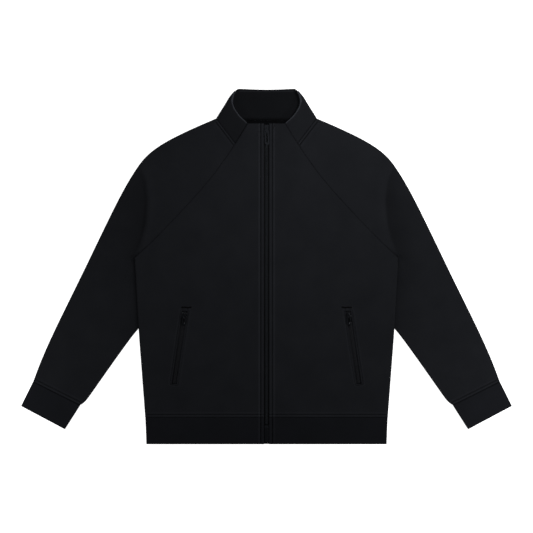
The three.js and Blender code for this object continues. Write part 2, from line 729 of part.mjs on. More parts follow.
function toSolid(geometry) {
  const bare = closedGeometry(geometry);
  return new wasm.Manifold(
    new wasm.Mesh({
      numProp: 3,
      vertProperties: new Float32Array(bare.attributes.position.array),
      triVerts: new Uint32Array(bare.index.array),
    }),
  );
}

function toGeometry(solid) {
  const mesh = solid.getMesh();
  const geometry = new THREE.BufferGeometry();
  geometry.setAttribute("position", new THREE.BufferAttribute(new Float32Array(mesh.vertProperties), 3));
  geometry.setIndex(Array.from(mesh.triVerts));
  return geometry;
}

function roundedShape(halfTop, halfBottom, top, bottom, corner) {
  const shape = new THREE.Shape();
  shape.moveTo(-halfTop + corner, top);
  shape.lineTo(halfTop - corner, top);
  shape.quadraticCurveTo(halfTop, top, halfTop, top - corner);
  shape.lineTo(halfBottom, bottom + corner);
  shape.quadraticCurveTo(halfBottom, bottom, halfBottom - corner, bottom);
  shape.lineTo(-halfBottom + corner, bottom);
  shape.quadraticCurveTo(-halfBottom, bottom, -halfBottom, bottom + corner);
  shape.lineTo(-halfTop, top - corner);
  shape.quadraticCurveTo(-halfTop, top, -halfTop + corner, top);
  return shape;
}

const extruded = (shape, depth, curveSegments = 4) =>
  new THREE.ExtrudeGeometry(shape, { depth, bevelEnabled: false, curveSegments });

/** Slider with its pivot over the origin and the plate's upper face at z = 0. */
function sliderGeometry(zip) {
  const lowerHalf = SLIDER.half - SLIDER.taper;
  const outlineShape = roundedShape(SLIDER.half, lowerHalf, zip.plateAbove, -zip.plateBelow, SLIDER.corner);
  const plate = extruded(outlineShape, PLATE).translate(0, 0, -PLATE);
  let solid = toSolid(plate);
  for (const side of [1, -1]) {
    const flangeY = zip.plateAbove / 2 - FLANGE.shift;
    const flange = new THREE.BoxGeometry(FLANGE.thick, zip.plateAbove - FLANGE.shorter, zip.flange + SUNK);
    flange.translate(side * FLANGE.middle, flangeY, -PLATE - (zip.flange - SUNK) / 2);
    solid = solid.add(toSolid(flange));
  }
  const arch = new THREE.Shape();
  const outside = BRIDGE.foot + BRIDGE.leg;
  arch.moveTo(-outside, -SUNK);
  arch.lineTo(-outside, BRIDGE.top - BRIDGE.round);
  arch.quadraticCurveTo(-outside, BRIDGE.top, -outside + BRIDGE.round, BRIDGE.top);
  arch.lineTo(outside - BRIDGE.round, BRIDGE.top);
  arch.quadraticCurveTo(outside, BRIDGE.top, outside, BRIDGE.top - BRIDGE.round);
  arch.lineTo(outside, -SUNK);
  arch.lineTo(BRIDGE.foot, -SUNK);
  arch.lineTo(BRIDGE.foot, BRIDGE.clear - BRIDGE.corner);
  arch.lineTo(BRIDGE.foot - BRIDGE.corner, BRIDGE.clear);
  arch.lineTo(-BRIDGE.foot + BRIDGE.corner, BRIDGE.clear);
  arch.lineTo(-BRIDGE.foot, BRIDGE.clear - BRIDGE.corner);
  arch.lineTo(-BRIDGE.foot, -SUNK);
  const bridge = extruded(arch, 2 * BRIDGE.half).translate(0, 0, -BRIDGE.half);
  bridge.rotateX(Math.PI / 2); // the arch stands up
  bridge.rotateZ(Math.PI / 2); // and runs along Y
  return toGeometry(solid.add(toSolid(bridge)));
}

/** Pull tab hanging to -Y from its pivot bar, which lies along X at the origin. */
function tabGeometry(zip) {
  const end = new THREE.Shape();
  end.moveTo(-TAB.half + TAB.corner, TAB.bar);
  end.lineTo(TAB.half - TAB.corner, TAB.bar);
  end.lineTo(TAB.half, TAB.bar - TAB.corner);
  end.lineTo(TAB.half, -zip.tabLength + TAB.half);
  end.absarc(0, -zip.tabLength + TAB.half, TAB.half, 0, -Math.PI, true);
  end.lineTo(-TAB.half, TAB.bar - TAB.corner);
  end.closePath();
  const slot = new THREE.Path();
  slot.moveTo(-TAB.slotHalf, -TAB.bar);
  slot.lineTo(-TAB.slotHalf, -zip.slotLength + TAB.slotHalf);
  slot.absarc(0, -zip.slotLength + TAB.slotHalf, TAB.slotHalf, Math.PI, 2 * Math.PI, false);
  slot.lineTo(TAB.slotHalf, -TAB.bar);
  slot.closePath();
  end.holes.push(slot);
  return closedGeometry(extruded(end, TAB.thick, 6).translate(0, 0, -TAB.thick / 2));
}

function buildSliderAndTab(names, zip, pivot, plateTop, slant, tabTurn) {
  const slider = addPiece(names.slider, sliderGeometry(zip), metal);
  slider.position.set(pivot.x, pivot.y, plateTop);
  slider.rotation.z = slant;
  const tab = addPiece(names.pull, tabGeometry(zip), metal);
  tab.position.set(pivot.x, pivot.y, plateTop + PIVOT_HEIGHT);
  tab.rotation.set(zip.tabTilt, 0, tabTurn, "ZYX");
}

function buildPulls() {
  const centreTop = tapeTop(CENTRE_ZIP.pivot.y) + SEAM + CHAIN_HEIGHT + SEAM + PLATE;
  const centreNames = { slider: "zip_slider", pull: "zip_pull" };
  buildSliderAndTab(centreNames, CENTRE_ZIP, CENTRE_ZIP.pivot, centreTop, 0, CENTRE_ZIP.tabTurn);

  const pocketTop = BODY_TOP - CLOTH - SEAM + POCKET_CHAIN.height + SEAM + PLATE;
  for (const [word, side] of [["left", 1], ["right", -1]]) {
    const pivot = at2(
      side * (POCKET_TOP.x + POCKET_ZIP.pivotBelow * Math.sin(POCKET_SLANT)),
      POCKET_TOP.y - POCKET_ZIP.pivotBelow * Math.cos(POCKET_SLANT),
    );
    const names = { slider: `pocket_slider_${word}`, pull: `pocket_pull_${word}` };
    buildSliderAndTab(names, POCKET_ZIP, pivot, pocketTop, side * POCKET_SLANT, 0);
  }
}

// ---------------------------------------------------------------- the jacket

buildBack();
for (const [word, side] of [["left", 1], ["right", -1]]) {
  buildFront(`front_${word}`, side);
  buildSleeve(`sleeve_${word}`, side);
  buildCuff(`cuff_${word}`, side);
  buildPocketZip(`pocket_zip_${word}`, side);
}
buildCollar();
buildHemBand();
buildCentreZip();
buildPulls();

export default jacket;
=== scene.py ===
"""Black raglan track jacket laid flat: cloth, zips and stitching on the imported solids."""
import math

import bmesh
import bpy
import numpy as np
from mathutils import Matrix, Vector
from mathutils.bvhtree import BVHTree
from mathutils.kdtree import KDTree


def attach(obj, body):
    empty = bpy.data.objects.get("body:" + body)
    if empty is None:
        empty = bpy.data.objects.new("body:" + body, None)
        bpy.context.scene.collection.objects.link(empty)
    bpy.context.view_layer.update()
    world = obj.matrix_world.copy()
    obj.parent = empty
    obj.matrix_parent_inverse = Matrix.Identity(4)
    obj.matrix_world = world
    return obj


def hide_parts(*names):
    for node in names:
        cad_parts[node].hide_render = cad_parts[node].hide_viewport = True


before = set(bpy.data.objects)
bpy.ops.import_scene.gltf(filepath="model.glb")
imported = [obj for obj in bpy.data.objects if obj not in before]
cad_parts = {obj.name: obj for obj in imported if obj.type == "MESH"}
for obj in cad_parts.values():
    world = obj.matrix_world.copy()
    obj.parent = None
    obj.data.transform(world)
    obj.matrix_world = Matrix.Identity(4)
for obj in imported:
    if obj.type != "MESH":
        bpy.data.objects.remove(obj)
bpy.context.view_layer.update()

MM = 0.001
JACKET = "jacket"

# Places on one half of the jacket, in millimetres; x counts from the zip outwards.
PLACKET_STITCH = 13.0         # row of stitches beside the zip
PLACKET_ROLL = 8.4            # middle of the rolled edge between the zip and that row
HEM_SEAM_Y = -330.9
HEM_STITCH_Y = -325.2
FRONT_TOP_Y = 313.9
POCKET_TOP = (179.3, -97.9)
POCKET_BOTTOM = (202.8, -257.0)
POCKET_HALF = 5.85            # half the width of the pocket's slit
BAR_TACK = ((165, -89.2), (172, -90.6), (179, -89.6), (187, -89.9))
CUFF_SEAM = ((408.6, -304.8), (513.0, -252.6))
CUFF_ROW = 6.5                # stitches above the cuff's seam
NECK_ROW = 5.5                # stitches beside the sleeve's neck seam
NECK_SEAM = ((68.2, 269.7), (107.4, 321.0))
COLLAR_TOP_Y = 388.2
COLLAR_FOLD = ((42.9, 315.9), (58.1, 329.1), (70.4, 346.7), (75.5, 363.0), (72.6, 377.3), (67.3, 385.7))
BODY_SIDE = ((289.6, 18.7), (286.0, -45.0), (280.5, -139.7))
SHOULDER_CREASE = (
    (283.0, 232.0), (266.0, 190.0), (261.0, 145.0), (265.0, 95.0), (275.0, 55.0), (289.0, 24.0),
)


# ------------------------------------------------------------------ small helpers

def linear(hex_colour):
    """sRGB hex colour as linear red, green, blue and alpha."""
    parts = [int(hex_colour[i:i + 2], 16) / 255 for i in (1, 3, 5)]
    return [c / 12.92 if c <= 0.04045 else ((c + 0.055) / 1.055) ** 2.4 for c in parts] + [1.0]


def add_node(tree, kind, inputs=None, **settings):
    """A shader node with its settings and its inputs, given as values or as sockets."""
    node = tree.nodes.new(kind)
    for name, value in settings.items():
        setattr(node, name, value)
    for name, value in (inputs or {}).items():
        if isinstance(value, bpy.types.NodeSocket):
            tree.links.new(value, node.inputs[name])
        else:
            node.inputs[name].default_value = value
    return node


def new_material(name, colour, roughness, **sockets):
    """Material with a Principled shader whose constant values sit on its own sockets."""
    material = bpy.data.materials.new(name)
    material.use_nodes = True
    shader = material.node_tree.nodes["Principled BSDF"]
    shader.inputs["Base Color"].default_value = linear(colour)
    shader.inputs["Roughness"].default_value = roughness
    for socket, value in sockets.items():
        shader.inputs[socket.replace("_", " ")].default_value = value
    return material, material.node_tree, shader


def added_piece(name, points, faces):
    """A piece made from its points and faces, in metres."""
    mesh = bpy.data.meshes.new(name)
    mesh.from_pydata(points, [], faces)
    piece = bpy.data.objects.new(name, mesh)
    bpy.context.scene.collection.objects.link(piece)
    return piece


def give_painted_light(piece, values):
    """Painted light and shade at every point: how much the knit's colour is lightened or darkened there."""
    attribute = piece.data.attributes.new("wear_and_painted_light", "FLOAT", "POINT")
    attribute.data.foreach_set("value", values)


def make_active(piece):
    bpy.ops.object.select_all(action="DESELECT")
    piece.select_set(True)
    bpy.context.view_layer.objects.active = piece


def apply_modifier(piece, kind, **settings):
    make_active(piece)
    modifier = piece.modifiers.new(kind.title(), kind)
    for name, value in settings.items():
        setattr(modifier, name, value)
    bpy.ops.object.modifier_apply(modifier=modifier.name)


def finish_piece(piece, material, body, replaced=()):
    piece.data.materials.clear()
    piece.data.materials.append(material)
    piece.data.polygons.foreach_set("use_smooth", [True] * len(piece.data.polygons))
    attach(piece, body)
    if replaced:
        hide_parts(*replaced)
    return piece


def smooth_step(values, low, high):
    share = np.clip((values - low) / (high - low), 0.0, 1.0)
    return share * share * (3 - 2 * share)


# ------------------------------------------------------------------ materials

def wave_scale(period_mm):
    """Scale at which a wave texture repeats every so many millimetres."""
    return math.pi / 10 / (period_mm * MM)


def mix_sockets(tree, mix, factor, first, second):
    """Sets a colour Mix node's own sockets, which share their names with hidden ones."""
    tree.links.new(factor, mix.inputs[0])
    for socket, value in ((mix.inputs[6], first), (mix.inputs[7], second)):
        if isinstance(value, bpy.types.NodeSocket):
            tree.links.new(value, socket)
        else:
            socket.default_value = value


def knit_material(name, colour, dark_colour, grain_degrees):
    """Matte black double knit: fine upright loops, a faint nap and a weak sheen.

    The point attribute read below scales the colour with painted light and shade: painted highlights on
    folds, swells and rolled edges, painted shade in the pull of a seam, on cut edges and in recesses; it is
    worked out with the relief.
    """
    material, tree, shader = new_material(
        name, colour, 0.9, Sheen_Weight=0.03, Sheen_Roughness=0.5, Sheen_Tint=linear("#e6ecf8"),
        Specular_IOR_Level=0.12, Specular_Tint=linear("#e6ecf8"),
    )
    place = add_node(tree, "ShaderNodeTexCoord")
    grain = add_node(
        tree, "ShaderNodeMapping",
        {"Vector": place.outputs["Object"], "Rotation": (0, 0, math.radians(grain_degrees))},
    )
    wales = add_node(
        tree, "ShaderNodeTexWave",
        {"Vector": grain.outputs[0], "Scale": wave_scale(0.75), "Distortion": 1.2,
         "Detail": 2.0, "Detail Scale": 3.0},
        bands_direction="X",
    )
    courses = add_node(
        tree, "ShaderNodeTexWave",
        {"Vector": grain.outputs[0], "Scale": wave_scale(0.6), "Distortion": 2.0,
         "Detail": 2.0, "Detail Scale": 3.0},
        bands_direction="Y",
    )
    loops = add_node(
        tree, "ShaderNodeMath", {0: wales.outputs["Fac"], 1: courses.outputs["Fac"]}, operation="MULTIPLY",
    )
    # Slow changes of the nap, some 60 mm across, with small flecks of 5 mm in them.
    nap = add_node(
        tree, "ShaderNodeTexNoise",
        {"Vector": place.outputs["Object"], "Scale": 16.0, "Detail": 5.0, "Roughness": 0.6},
    )
    lie = add_node(
        tree, "ShaderNodeMapRange", {"Value": nap.outputs["Fac"], "From Min": 0.3, "From Max": 0.7},
    )
    tone = add_node(tree, "ShaderNodeMix", data_type="RGBA")
    mix_sockets(tree, tone, lie.outputs[0], linear(dark_colour), linear(colour))
    depth = add_node(
        tree, "ShaderNodeMapRange", {"Value": loops.outputs[0], "To Min": 0.85, "To Max": 1.25},
    )
    # painted light and shade: this point attribute lightens or darkens the knit's colour
    wear_and_painted_light = add_node(tree, "ShaderNodeAttribute", attribute_name="wear_and_painted_light")
    value = add_node(
        tree, "ShaderNodeMath", {0: wear_and_painted_light.outputs["Fac"], 1: depth.outputs[0]}, operation="MULTIPLY",
    )
    shade = add_node(tree, "ShaderNodeHueSaturation", {"Color": tone.outputs[2], "Value": value.outputs[0]})
    tree.links.new(shade.outputs[0], shader.inputs["Base Color"])
    bump = add_node(
        tree, "ShaderNodeBump", {"Height": loops.outputs[0], "Strength": 0.35, "Distance": 0.12 * MM},
    )
    tree.links.new(bump.outputs[0], shader.inputs["Normal"])
    return material


def tape_material(name, colour):
    """Woven polyester zip tape: close ribs across the tape, dull."""
    material, tree, shader = new_material(name, colour, 0.8, Specular_IOR_Level=0.15)
    place = add_node(tree, "ShaderNodeTexCoord")
    ribs = add_node(
        tree, "ShaderNodeTexWave",
        {"Vector": place.outputs["Object"], "Scale": wave_scale(0.9), "Distortion": 0.6},
        bands_direction="Y",
    )
    bump = add_node(
        tree, "ShaderNodeBump", {"Height": ribs.outputs["Fac"], "Strength": 0.5, "Distance": 0.2 * MM},
    )
    tree.links.new(bump.outputs[0], shader.inputs["Normal"])
    return material


def coil_material(name, colour):
    """Nylon coil: moulded black plastic with a soft shine and fine scuffs."""
    material, tree, shader = new_material(name, colour, 0.6, Specular_IOR_Level=0.12)
    place = add_node(tree, "ShaderNodeTexCoord")
    scuffs = add_node(tree, "ShaderNodeTexNoise", {"Vector": place.outputs["Object"], "Scale": 900.0})
    rough = add_node(
        tree, "ShaderNodeMapRange", {"Value": scuffs.outputs["Fac"], "To Min": 0.5, "To Max": 0.72},
    )
    tree.links.new(rough.outputs[0], shader.inputs["Roughness"])
    return material


def metal_material(name, worn_and_highlight_colour):
    """Die-cast zinc with satin black paint: smooth, with paler edges that are worn paint and a painted
    highlight.
    """
    material, tree, shader = new_material(
        name, "#0d0e10", 0.5, Specular_IOR_Level=0.12, Specular_Tint=linear("#dfe7f6"),
    )
    place = add_node(tree, "ShaderNodeTexCoord")
    grain = add_node(
        tree, "ShaderNodeTexNoise", {"Vector": place.outputs["Object"], "Scale": 2200.0, "Detail": 3.0},
    )
    bump = add_node(
        tree, "ShaderNodeBump", {"Height": grain.outputs["Fac"], "Strength": 0.12, "Distance": 0.05 * MM},
    )
    shape = add_node(tree, "ShaderNodeNewGeometry")
    # paler sharp edges: worn paint and a painted highlight
    wear_and_painted_light = add_node(
        tree, "ShaderNodeMapRange",
        {"Value": shape.outputs["Pointiness"], "From Min": 0.52, "From Max": 0.62},
    )
    tone = add_node(tree, "ShaderNodeMix", data_type="RGBA")
    mix_sockets(tree, tone, wear_and_painted_light.outputs[0], linear("#0d0e10"), linear(worn_and_highlight_colour))
    tree.links.new(tone.outputs[2], shader.inputs["Base Color"])
    tree.links.new(bump.outputs[0], shader.inputs["Normal"])
    return material


def thread_material(name, colour):
    """Spun polyester thread: twisted, with a dull gleam."""
    material, tree, shader = new_material(name, colour, 0.8, Specular_IOR_Level=0.08)
    place = add_node(tree, "ShaderNodeTexCoord")
    twist = add_node(
        tree, "ShaderNodeTexWave",
        {"Vector": place.outputs["Object"], "Scale": wave_scale(0.5), "Distortion": 1.0},
        bands_direction="DIAGONAL",
    )
    bump = add_node(
        tree, "ShaderNodeBump", {"Height": twist.outputs["Fac"], "Strength": 0.4, "Distance": 0.1 * MM},
    )
    tree.links.new(bump.outputs[0], shader.inputs["Normal"])
    return material


def floor_material():
    """Opal white board lit from below, so that it stays white round a black garment."""
    material, tree, shader = new_material("opal_white_board", "#f4f4f4", 0.9, Specular_IOR_Level=0.0)
    place = add_node(tree, "ShaderNodeTexCoord")
    fibre = add_node(tree, "ShaderNodeTexNoise", {"Vector": place.outputs["Object"], "Scale": 60.0})
    bump = add_node(tree, "ShaderNodeBump", {"Height": fibre.outputs["Fac"], "Strength": 0.02})
    tree.links.new(bump.outputs[0], shader.inputs["Normal"])
    shader.inputs["Emission Color"].default_value = (1.0, 1.0, 1.0, 1.0)
    shader.inputs["Emission Strength"].default_value = 1.0
    return material


BODY_KNIT = knit_material("double_knit", "#1a1b1e", "#16171a", 0)
LEFT_KNIT = knit_material("double_knit_left_sleeve", "#1a1b1e", "#16171a", 28)
RIGHT_KNIT = knit_material("double_knit_right_sleeve", "#1a1b1e", "#16171a", -28)
BAND_KNIT = knit_material("folded_band_knit", "#16171b", "#131417", 0)
TAPE = tape_material("woven_zip_tape", "#0a0b0d")
POCKET_TAPE = tape_material("woven_pocket_tape", "#1a1b1f")
COIL = coil_material("nylon_coil", "#212428")
POCKET_COIL = coil_material("pocket_nylon_coil", "#17181b")
# the edge colours below are worn paint and a painted highlight
METAL = metal_material("black_painted_zinc", "#17191c")
PULL_METAL = metal_material("pull_zinc_worn_paint_and_painted_highlight", "#282b30")
POCKET_METAL = metal_material("pocket_zinc_worn_paint_and_painted_highlight", "#787b80")
THREAD = thread_material("spun_thread", "#131416")
POCKET_THREAD = thread_material("pocket_thread", "#1d1e22")
TACK_THREAD = thread_material("bar_tack_thread", "#040405")


# ------------------------------------------------------------------ cloth from the solids

SHARP = math.radians(52)


def copied_form(node, name, levels):
    """A finer copy of a CAD solid: its loose triangles merged, paired up and subdivided."""
    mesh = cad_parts[node].data.copy()
    piece = bpy.data.objects.new(name, mesh)
    bpy.context.scene.collection.objects.link(piece)
    shape = bmesh.new()
    shape.from_mesh(mesh)
    bmesh.ops.remove_doubles(shape, verts=shape.verts, dist=0.01 * MM)
    bmesh.ops.join_triangles(
        shape, faces=shape.faces,
        angle_face_threshold=math.radians(40), angle_shape_threshold=math.radians(80),
    )
    crease = shape.edges.layers.float.new("crease_edge")
    for edge in shape.edges:
        if len(edge.link_faces) == 2 and edge.calc_face_angle() > SHARP:
            edge[crease] = 1.0
    shape.to_mesh(mesh)
    shape.free()
    if levels:
        apply_modifier(piece, "SUBSURF", levels=levels, render_levels=levels)
    return piece


def refine(piece, lines, reach_mm, side):
    """Cuts the mesh finer beside lines where narrow swells run closer than its faces."""
    shape = bmesh.new()
    shape.from_mesh(piece.data)
    shape.edges.ensure_lookup_table()
    middles = np.array([((e.verts[0].co + e.verts[1].co) / 2)[:] for e in shape.edges]) / MM
    long_enough = np.array([e.calc_length() for e in shape.edges]) > 0.9 * MM
    chosen = np.zeros(len(middles), bool)
    for line in lines:
        away, _ = polyline_distance(side * middles[:, 0], middles[:, 1], line)
        chosen |= np.abs(away) < reach_mm
    chosen &= long_enough & (middles[:, 2] > 2.5)
    edges = [shape.edges[number] for number in np.flatnonzero(chosen)]
    bmesh.ops.subdivide_edges(shape, edges=edges, cuts=1, use_grid_fill=True)
    shape.to_mesh(piece.data)
    shape.free()


def rim_distances(piece):
    """Distance of every point to the piece's cut edges, and the points' normals, in metres."""
    shape = bmesh.new()
    shape.from_mesh(piece.data)
    cut_edges = [e for e in shape.edges if len(e.link_faces) == 2 and e.calc_face_angle() > SHARP]
    rim = {v.index for e in cut_edges for v in e.verts}
    tree = KDTree(len(rim))
    shape.verts.ensure_lookup_table()
    for index in rim:
        tree.insert(shape.verts[index].co, index)
    tree.balance()
    distances = np.array([tree.find(v.co)[2] for v in shape.verts])
    normals = np.array([v.normal[:] for v in shape.verts])
    shape.free()
    return distances, normals


def points_of(piece):
    flat = np.empty(len(piece.data.vertices) * 3)
    piece.data.vertices.foreach_get("co", flat)
    return flat.reshape(-1, 3)


def set_points(piece, points):
    piece.data.vertices.foreach_set("co", points.ravel())
    piece.data.update()


def soften_rims(piece, depth_mm, reach_mm):
    """Rolls the cut edges over in height only, so that seams stay as narrow as they are."""
    distances, normals = rim_distances(piece)
    points = points_of(piece)
    inward = depth_mm * MM * np.exp(-((distances / (reach_mm * MM)) ** 2))
    points[:, 2] = np.maximum(points[:, 2] - normals[:, 2] * inward, 0.0)
    set_points(piece, points)
    return distances / MM, normals


def polyline_distance(x, y, line):
    """Signed distance to a polyline, positive on its left, and the share along it."""
    best = np.full(x.shape, 1e9)
    signed = np.zeros_like(x)
    along = np.zeros_like(x)
    count = len(line) - 1
    for number in range(count):
        (ax, ay), (bx, by) = line[number], line[number + 1]
        dx, dy = bx - ax, by - ay
        length = math.hypot(dx, dy)
        share = np.clip(((x - ax) * dx + (y - ay) * dy) / length ** 2, 0, 1)
        away = np.hypot(x - (ax + share * dx), y - (ay + share * dy))
        side = np.sign((x - ax) * -dy + (y - ay) * dx)
        nearer = away < best
        best = np.where(nearer, away, best)
        signed = np.where(nearer, away * side, signed)
        along = np.where(nearer, (number + share) / count, along)
    return signed, along


# Soft folds of the laid cloth. Points in millimetres on one half, counted from the zip
# outwards; "side" is 1 for the wearer's left; "width" is how far the fold reaches to each
# side and "height" is negative for a trough.
FOLDS = [
    {"side": 1, "line": ((250, 40), (185, 85), (110, 112)), "width": 20, "height": 1.3},
    {"side": 1, "line": ((240, -40), (190, -22), (140, 5)), "width": 16, "height": -0.9},
    {"side": 1, "line": ((120, -300), (108, -200), (118, -110)), "width": 24, "height": 1.2},
    {"side": 1, "line": ((64, 225), (75, 120), (62, 20)), "width": 26, "height": 1.0},
    {"side": -1, "line": ((246, 44), (176, 80), (118, 128)), "width": 18, "height": 1.2},
    {"side": -1, "line": ((236, -58), (190, -36), (130, -30)), "width": 18, "height": -1.0},
    {"side": -1, "line": ((95, -290), (112, -215), (100, -130)), "width": 22, "height": 1.1},
    {"side": -1, "line": ((72, 215), (64, 130), (80, 45)), "width": 24, "height": 1.0},
    # sleeves: drag lines across the elbow and up from the cuff
    {"side": 1, "line": ((330, -120), (375, -95), (418, -50)), "width": 17, "height": 1.6},
    {"side": 1, "line": ((350, -178), (402, -158), (452, -120)), "width": 13, "height": -1.2},
    {"side": 1, "line": ((425, -285), (432, -235), (445, -190)), "width": 13, "height": 1.3},
    {"side": 1, "line": ((468, -262), (462, -215), (470, -172)), "width": 11, "height": -0.9},
    {"side": -1, "line": ((322, -110), (372, -80), (410, -30)), "width": 18, "height": 1.5},
    {"side": -1, "line": ((362, -190), (410, -175), (455, -145)), "width": 14, "height": -1.3},
    {"side": -1, "line": ((436, -280), (440, -228), (458, -180)), "width": 14, "height": 1.4},
    {"side": -1, "line": ((482, -258), (476, -205), (480, -160)), "width": 11, "height": -0.8},
]


def bell(distance, place, width):
    return np.exp(-(((distance - place) / width) ** 2))


def shoulder_fold(x, y):
    """The sleeve's turn at the shoulder: raised on the body's side, sunk beyond it."""
    signed, along = polyline_distance(x, y, SHOULDER_CREASE)
    ends = np.sin(np.pi * np.clip(along, 0.02, 0.98)) ** 0.5
    outside = smooth_step(signed, -7, 8)
    raised = 2.6 * np.exp(-np.maximum(-signed, 0) / 75)
    sunk = -2.3 * np.exp(-np.maximum(signed - 6, 0) / 32)
    return (raised * (1 - outside) + sunk * outside) * ends


def loose_folds(x, y, side):
    height = np.zeros_like(x)
    for fold in FOLDS:
        if fold["side"] == side:
            signed, along = polyline_distance(x, y, fold["line"])
            height += fold["height"] * np.sin(np.pi * along) ** 0.8 * bell(signed, 0, fold["width"])
    return height


def pocket_place(x, y):
    """Distance across and down the pocket slit, from the middle of its top, and its length."""
    dx, dy = POCKET_BOTTOM[0] - POCKET_TOP[0], POCKET_BOTTOM[1] - POCKET_TOP[1]
    length = math.hypot(dx, dy)
    across = ((x - POCKET_TOP[0]) * -dy + (y - POCKET_TOP[1]) * dx) / length
    down = ((x - POCKET_TOP[0]) * dx + (y - POCKET_TOP[1]) * dy) / length
    return across, down, length


def slit_distance(x, y):
    """Distance outwards from the edge of the pocket's slit."""
    across, down, length = pocket_place(x, y)
    past_side = np.maximum(np.abs(across) - POCKET_HALF, 0)
    past_end = np.maximum(np.abs(down - length / 2) - length / 2, 0)
    return np.hypot(past_side, past_end)


def broad_relief(x, y, side):
    """Folds shared by all the cloth, none beside the zips."""
    clear = smooth_step(slit_distance(x, y), 12, 38) * smooth_step(x, 18, 45)
    return (shoulder_fold(x, y) + loose_folds(x, y, side)) * clear


def stitched_edge(distance, row):
    """Swell, pull and swell again across a row of stitches that lies beside an edge."""
    swell = 0.75 * bell(distance, row * 0.45, row * 0.3)
    return swell - 0.9 * bell(distance, row, 1.0) + 0.5 * bell(distance, row + 3.4, 1.9)


def fine_relief(x, y, piece):
    """The narrow swells and pulls along seams and rows of stitches, in millimetres."""
    height = np.zeros_like(x)
    if piece in ("front", "hem"):
        height += 0.95 * bell(x, PLACKET_ROLL, 2.4) - 1.0 * bell(x, PLACKET_STITCH, 1.0)
        height += 0.7 * bell(x, 16.4, 1.7)
    if piece == "front":
        height += stitched_edge(y - HEM_SEAM_Y, HEM_STITCH_Y - HEM_SEAM_Y)
        outside = slit_distance(x, y)
        height += 0.6 * bell(outside, 1.4, 0.9) - 0.5 * bell(outside, 3.2, 0.9)
        height += 0.6 * bell(outside, 5.6, 1.5)
    if piece == "sleeve":
        (ax, ay), (bx, by) = CUFF_SEAM
        cuff = np.abs((x - ax) * -(by - ay) + (y - ay) * (bx - ax)) / math.hypot(bx - ax, by - ay)
        height += stitched_edge(cuff, CUFF_ROW)
        neck, along = polyline_distance(x, y, NECK_SEAM)
        height += stitched_edge(np.abs(neck), NECK_ROW) * ((along > 0) & (along < 1))
    return height


# Lines beside which the swells are narrower than the cloth's faces.
FINE_LINES = {
    "sleeve": [NECK_SEAM, CUFF_SEAM],
    "front": [((5.0, HEM_STITCH_Y + 2), (266.0, HEM_STITCH_Y + 2)), ((196.0, -261.0), (210.0, -261.0))],
}


def upper_share(z):
    """1 on the upper layer of the laid cloth, 0 on the layer that rests on the surface."""
    return smooth_step(z, 2.3, 4.8)


def painted_light_of(points, fine, rims, normals, piece):
    """Painted light and shade on the knit: 1 on plain cloth, more on swells, less in seams and on edges.

    The amounts are painted light and shade, so they are not a measured finish.
    """
    x, y, z = np.abs(points[:, 0]), points[:, 1], points[:, 2]
    # painted highlight on the swells of the fine relief and painted shade in its pulls
    wear_and_painted_light = 1 + np.where(fine > 0, 0.5, 0.6) * fine
    # painted shade along the cut edges, less of it beside the pocket's slit
    cut = 0.3 + 0.25 * smooth_step(slit_distance(x, y), 3, 6) if piece == "front" else 0.4
    wear_and_painted_light -= cut * np.exp(-((rims / 1.0) ** 2))
    # painted shade where the cloth turns away from straight up
    wear_and_painted_light -= 0.35 * smooth_step(1 - np.abs(normals[:, 2]), 0.3, 0.9)
    if piece == "sleeve":
        # painted shade beyond the shoulder's crease, a painted highlight just inside it, and a painted
        # shadow on the sleeve beside the body's side edge
        signed, along = polyline_distance(x, y, SHOULDER_CREASE)
        ends = np.sin(np.pi * np.clip(along, 0.02, 0.98)) ** 0.5
        wear_and_painted_light -= 0.46 * smooth_step(signed, -3, 4) * np.exp(-np.maximum(signed, 0) / 42) * ends
        wear_and_painted_light += 0.10 * bell(signed, -9, 9) * ends
        beside, _ = polyline_distance(x, y, BODY_SIDE)
        wear_and_painted_light -= 0.34 * np.exp(-np.abs(beside) / 24) * smooth_step(z, 3, 5)
    if piece == "collar":
        fold, _ = polyline_distance(x, y, COLLAR_FOLD)
        # painted shade: darker on the collar's right half; darker on the collar's right half:
        # set by eye, the cause is a guess (nap brushed down)
        wear_and_painted_light -= 0.36 * smooth_step(-points[:, 0], 20, 50) * smooth_step(z, 6, 9)
        # painted highlight along the collar's rolled fold
        wear_and_painted_light += 3.0 * bell(np.abs(fold), 0.9, 1.1) * smooth_step(z, 7, 9)
        # painted shade on the inside of the back collar, under the front's collar
        wear_and_painted_light -= 0.58 * (1 - smooth_step(z, 3.2, 6.0))
        # painted highlight along the top edge of the inside of the back collar
        wear_and_painted_light += 0.9 * bell(COLLAR_TOP_Y - y, 2.6, 1.3) * (z < 6) * (x < 60)
    if piece in ("collar", "back"):
        # painted shadow: a dark band across the back of the neck, under the front's top edge
        wear_and_painted_light *= 1 - 0.95 * smooth_step(y, 300, 314) * (1 - smooth_step(y, 321.5, 329)) * (z < 6)
    if piece in ("front", "hem"):
        # painted highlight beside the placket's row of stitches and painted shade on its rolled edge
        wear_and_painted_light += 0.55 * bell(x, 16.0, 1.1) - 0.2 * bell(x, PLACKET_ROLL, 2.4)
    if piece == "hem":
        # painted shade: the hem band darker all along, a little more on the wearer's left
        wear_and_painted_light *= 0.76 - 0.05 * smooth_step(points[:, 0], 20, 60)
    if piece == "front":
        # painted shade: a little darker towards the hem and the side seams
        wear_and_painted_light -= 0.05 * smooth_step(x, 120, 210) * smooth_step(60 - y, 0, 200)
    return np.clip(wear_and_painted_light, 0.05, 4.2)


